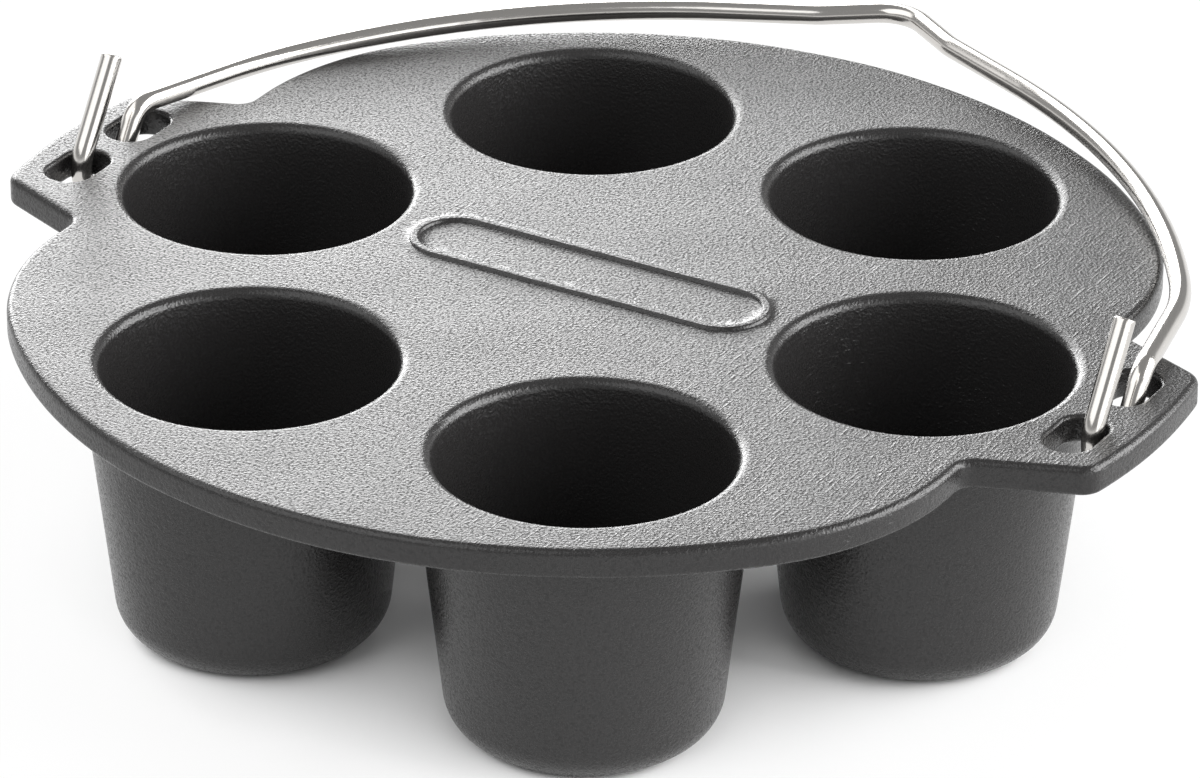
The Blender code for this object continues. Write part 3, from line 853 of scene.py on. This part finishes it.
def iron_material(iron):
    """Grey iron cast in green sand, shot clean, then oiled and baked black.

    The sand leaves an even grain: wide rubbed tops with a soft sheen, and small duller pits between them.
    It is drawn two to three times as coarse as moulding sand is, so that it shows in the render. Slower
    lumps break up wide reflections, and a wire brush has left faint marks along Y, in patches and more to
    the right. The oil has run down walls and round edges, which are smoother and shine more.
    """
    material, tree, shader = new_material("seasoned_cast_iron")
    coordinates = add_node(tree, "ShaderNodeTexCoord")
    place = coordinates.outputs["Object"]
    facing = add_node(tree, "ShaderNodeSeparateXYZ", {"Vector": coordinates.outputs["Normal"]})
    grain = add_node(tree, "ShaderNodeTexNoise", {
        "Vector": place, "Scale": 1 / iron.grain_width, "Detail": 1.8, "Roughness": 0.5})
    lumps = add_node(tree, "ShaderNodeTexNoise", {
        "Vector": place, "Scale": 1 / iron.lump_width, "Detail": 2, "Roughness": 0.5})

    # Brush marks: the peaks of a noise drawn out along Y, by patches
    stretch = add_node(tree, "ShaderNodeMapping", {
        "Vector": place, "Scale": (1 / iron.brush_width, 1 / iron.brush_length, 1 / iron.brush_width)})
    brush = add_node(tree, "ShaderNodeTexNoise", {
        "Vector": stretch.outputs["Vector"], "Scale": 1, "Detail": 2})
    strokes = add_node(tree, "ShaderNodeMapRange", {
        "Value": brush.outputs["Fac"], "From Min": STROKE_RISE[0], "From Max": STROKE_RISE[1]})
    patch = add_node(tree, "ShaderNodeTexNoise", {
        "Vector": place, "Scale": 1 / iron.brush_patch, "Detail": 1})
    across = add_node(tree, "ShaderNodeSeparateXYZ", {"Vector": place})
    patch_level = add_node(tree, "ShaderNodeMath", {
        0: across.outputs["X"], 1: iron.brush_side, 2: patch.outputs["Fac"]}, operation="MULTIPLY_ADD")
    patches = add_node(tree, "ShaderNodeMapRange", {
        "Value": patch_level.outputs["Value"], "From Min": PATCH_RISE[0], "From Max": PATCH_RISE[1],
        "To Min": PATCH_LEAST, "To Max": 1})
    marks = add_node(tree, "ShaderNodeMath", {
        0: strokes.outputs["Result"], 1: patches.outputs["Result"]}, operation="MULTIPLY")

    # What walls and round edges keep of the grain's height and of the top's roughness
    side_grain, side_roughness = (
        add_node(tree, "ShaderNodeMapRange", {
            "Value": facing.outputs["Z"], "From Min": FACING_UP[0], "From Max": FACING_UP[1],
            "To Min": least, "To Max": 1})
        for least in (iron.side_grain, iron.side_roughness))
    grain_height = add_node(tree, "ShaderNodeMath", {
        0: grain.outputs["Fac"], 1: side_grain.outputs["Result"]}, operation="MULTIPLY")

    # Relief, from the slowest layer to the finest
    lump_relief = add_node(tree, "ShaderNodeBump", {
        "Height": lumps.outputs["Fac"], "Distance": iron.lump_depth})
    mark_relief = add_node(tree, "ShaderNodeBump", {
        "Height": marks.outputs["Value"], "Distance": iron.brush_depth,
        "Normal": lump_relief.outputs["Normal"]})
    relief = add_node(tree, "ShaderNodeBump", {
        "Height": grain_height.outputs["Value"], "Distance": iron.grain_depth,
        "Normal": mark_relief.outputs["Normal"]})

    # Colour and roughness, from the pits to the tops
    tops = add_node(tree, "ShaderNodeMapRange", {
        "Value": grain.outputs["Fac"], "From Min": GRAIN_RISE[0], "From Max": GRAIN_RISE[1]})
    colour = add_node(tree, "ShaderNodeMix", {
        "Factor": tops.outputs["Result"], "A": linear(iron.dark), "B": linear(iron.light)},
        data_type="RGBA")
    rough = add_node(tree, "ShaderNodeMapRange", {
        "Value": tops.outputs["Result"], "To Min": iron.roughness_high, "To Max": iron.roughness_low})
    side_rough = add_node(tree, "ShaderNodeMath", {
        0: rough.outputs["Result"], 1: side_roughness.outputs["Result"]}, operation="MULTIPLY")
    tree.links.new(colour.outputs["Result"], shader.inputs["Base Color"])
    tree.links.new(side_rough.outputs["Value"], shader.inputs["Roughness"])
    tree.links.new(relief.outputs["Normal"], shader.inputs["Normal"])
    return material


def steel_material(steel):
    """Stainless wire, cold drawn through a die and polished: a clear, slightly soft reflection, which faint
    lines along the wire draw out. Real die lines are finer; these are as wide as the render can show."""
    material, tree, shader = new_material("polished_stainless_wire")
    drawn = add_node(tree, "ShaderNodeAttribute", attribute_name="along_wire").outputs["Vector"]
    stretch = add_node(tree, "ShaderNodeMapping", {
        "Vector": drawn, "Scale": (1 / steel.line_width, 1 / steel.line_width, 1 / steel.line_length)})
    lines = add_node(tree, "ShaderNodeTexNoise", {
        "Vector": stretch.outputs["Vector"], "Scale": 1, "Detail": 3})
    relief = add_node(tree, "ShaderNodeBump", {
        "Height": lines.outputs["Fac"], "Distance": steel.line_depth})
    rough = add_node(tree, "ShaderNodeMapRange", {
        "Value": lines.outputs["Fac"], "From Min": LINE_RISE[0], "From Max": LINE_RISE[1],
        "To Min": LINE_POLISH[0] * steel.roughness, "To Max": LINE_POLISH[1] * steel.roughness})
    shader.inputs["Base Color"].default_value = linear(steel.colour)
    shader.inputs["Metallic"].default_value = 1
    tree.links.new(rough.outputs["Result"], shader.inputs["Roughness"])
    tree.links.new(relief.outputs["Normal"], shader.inputs["Normal"])
    return material


# Studio

FLOOR_HALF = 12               # half of the floor's side, far past what the camera sees
FLOOR_ROUGHNESS = 0.9
OPENNESS_RISE = (0.12, 0.5)   # share of open sky over the floor, from no glow of its own to full glow
SENSOR_WIDTH = 36             # mm
LAMPS = {                     # azimuth, elevation, distance, width and height
    "key": (228, 24, 2, 1.6, 1.4),
    "strip": (227.5, 8, 1.9, 1.5, 0.36),
    "right": (120, 24, 2, 2.1, 1.55),
    "side": (74, 14, 2, 1.3, 1),
    "front": (325, 48, 2, 3.1, 1.7),
}
BACKDROP_TOP = (4, 12)        # elevations between which the white backdrop fades into the ceiling


def seen_directly(tree):
    """1 for rays from the camera and rays that gloss or glass sends on, else 0."""
    rays = add_node(tree, "ShaderNodeLightPath")
    either = add_node(tree, "ShaderNodeMath", {
        0: rays.outputs["Is Camera Ray"], 1: rays.outputs["Is Glossy Ray"]}, operation="MAXIMUM")
    seen = add_node(tree, "ShaderNodeMath", {
        0: either.outputs["Value"], 1: rays.outputs["Is Transmission Ray"]}, operation="MAXIMUM")
    return seen.outputs["Value"]


def make_floor(studio):
    """Flat floor of matt pale paper under the cups' feet. To the camera and in reflections it is part light
    of its own, up to white, so that it stays pale between the lamps. Close to the pan that light fades,
    which keeps the shadow."""
    mesh = bpy.data.meshes.new("floor")
    corners = [(x * FLOOR_HALF, y * FLOOR_HALF, PAN_LOW.z) for x, y in ((-1, -1), (1, -1), (1, 1), (-1, 1))]
    mesh.from_pydata(corners, [], [(0, 1, 2, 3)])
    floor = bpy.data.objects.new("floor", mesh)
    bpy.context.scene.collection.objects.link(floor)
    material, tree, shader = new_material("pale_floor")
    shader.inputs["Base Color"].default_value = linear(studio.floor)
    shader.inputs["Roughness"].default_value = FLOOR_ROUGHNESS
    glow = add_node(tree, "ShaderNodeEmission", {"Color": (1, 1, 1, 1), "Strength": 1})
    openness = add_node(tree, "ShaderNodeAmbientOcclusion", {"Distance": studio.floor_reach})
    lit = add_node(tree, "ShaderNodeMapRange", {
        "Value": openness.outputs["AO"], "From Min": OPENNESS_RISE[0], "From Max": OPENNESS_RISE[1],
        "To Min": 0, "To Max": studio.floor_glow})
    share = add_node(tree, "ShaderNodeMath", {
        0: seen_directly(tree), 1: lit.outputs["Result"]}, operation="MULTIPLY")
    mix = add_node(tree, "ShaderNodeMixShader", {
        0: share.outputs["Value"], 1: shader.outputs["BSDF"], 2: glow.outputs["Emission"]})
    tree.links.new(mix.outputs["Shader"], tree.nodes["Material Output"].inputs["Surface"])
    mesh.materials.append(material)


def make_world(scene, studio):
    """White backdrop up to a little over the horizon, under a dark ceiling, which gives bright metal its
    dark lines. The camera meets only floor and backdrop."""
    world = bpy.data.worlds.new("studio")
    world.use_nodes = True
    tree = world.node_tree
    tree.nodes.clear()
    way = add_node(tree, "ShaderNodeTexCoord").outputs["Generated"]
    height = add_node(tree, "ShaderNodeSeparateXYZ", {"Vector": way}).outputs["Z"]
    low, high = (math.sin(math.radians(elevation)) for elevation in BACKDROP_TOP)
    strength = add_node(tree, "ShaderNodeMapRange", {
        "Value": height, "From Min": low, "From Max": high, "To Min": 1, "To Max": studio.ceiling_light})
    background = add_node(tree, "ShaderNodeBackground", {
        "Color": (1, 1, 1, 1), "Strength": strength.outputs["Result"]})
    output = add_node(tree, "ShaderNodeOutputWorld", {"Surface": background.outputs["Background"]})
    output.is_active_output = True
    scene.world = world


def direction(azimuth, elevation):
    """Unit vector to a place seen at that azimuth and elevation in degrees; azimuth 0 is the front."""
    a, e = math.radians(azimuth), math.radians(elevation)
    return Vector((math.sin(a) * math.cos(e), -math.cos(a) * math.cos(e), math.sin(e)))


def make_lamps(studio):
    """Soft boxes that face the middle of the plate, unseen by the camera itself."""
    for name, (azimuth, elevation, distance, width, height) in LAMPS.items():
        lamp = bpy.data.lights.new(name + "_lamp", "AREA")
        lamp.shape = "RECTANGLE"
        lamp.size, lamp.size_y = width, height
        lamp.energy = getattr(studio, name + "_power")
        box = bpy.data.objects.new(name + "_lamp", lamp)
        away = direction(azimuth, elevation)
        box.location = away * distance
        box.rotation_euler = away.to_track_quat("Z", "Y").to_euler()
        box.visible_camera = False
        bpy.context.scene.collection.objects.link(box)


def make_camera(scene, studio):
    """Camera at the distance, azimuth, elevation and roll about its aim, looking at it."""
    back = direction(math.degrees(studio.azimuth), math.degrees(studio.elevation))
    right = Vector((math.cos(studio.azimuth), math.sin(studio.azimuth), 0))
    up = back.cross(right)
    turned_right = right * math.cos(studio.roll) + up * math.sin(studio.roll)
    turned_up = up * math.cos(studio.roll) - right * math.sin(studio.roll)
    data = bpy.data.cameras.new("camera")
    data.sensor_width = SENSOR_WIDTH
    data.lens = studio.lens
    camera = bpy.data.objects.new("camera", data)
    axes = Matrix((turned_right, turned_up, back)).transposed().to_4x4()
    camera.matrix_world = Matrix.Translation(Vector(studio.aim) + back * studio.distance) @ axes
    scene.collection.objects.link(camera)
    scene.camera = camera


def main():
    register()
    bpy.ops.muffin_pan.casting()
    bpy.ops.muffin_pan.bail()
    bpy.ops.muffin_pan.studio()


if __name__ == "__main__":
    main()
